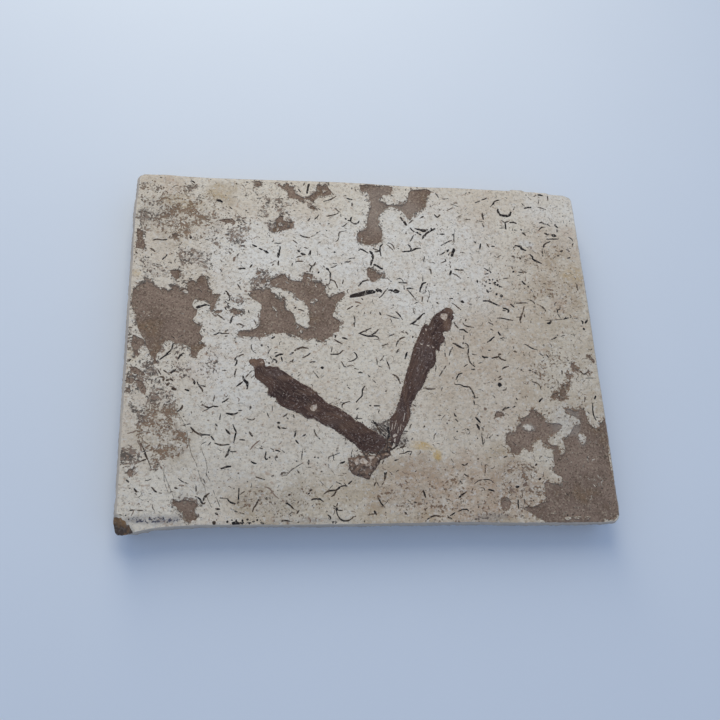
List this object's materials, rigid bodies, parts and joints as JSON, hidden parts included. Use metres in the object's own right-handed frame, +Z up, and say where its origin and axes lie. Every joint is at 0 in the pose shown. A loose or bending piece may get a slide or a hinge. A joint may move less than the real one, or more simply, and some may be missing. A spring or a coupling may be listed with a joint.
{
  "type": "fossil slab",
  "caption": "Flat rectangular slab of cream bedded limestone with two dark fibrous wings in a V and a small lumpy body pressed into its face.",
  "frame": {"origin": "centre of the slab's box, on the plane of the underside it rests on", "axes": "+X along the slab's long side, +Y along its short side towards the edge away from the fossil's body, +Z up out of the face that shows the fossil"},
  "size_m": [0.1521, 0.1206, 0.0125],
  "materials": {
    "limestone": "matte cream bedded limestone with brown patches and dark plant flecks",
    "fossil_film": "dark brown fibrous carbonised film, faint sheen along the fibres",
    "fossil_lump": "rough mottled brown carbonised crust"
  },
  "bodies": {
    "root": {"limestone_slab": "limestone", "left_wing": "fossil_film", "right_wing": "fossil_film", "body": "fossil_lump"}
  },
  "joints": []
}
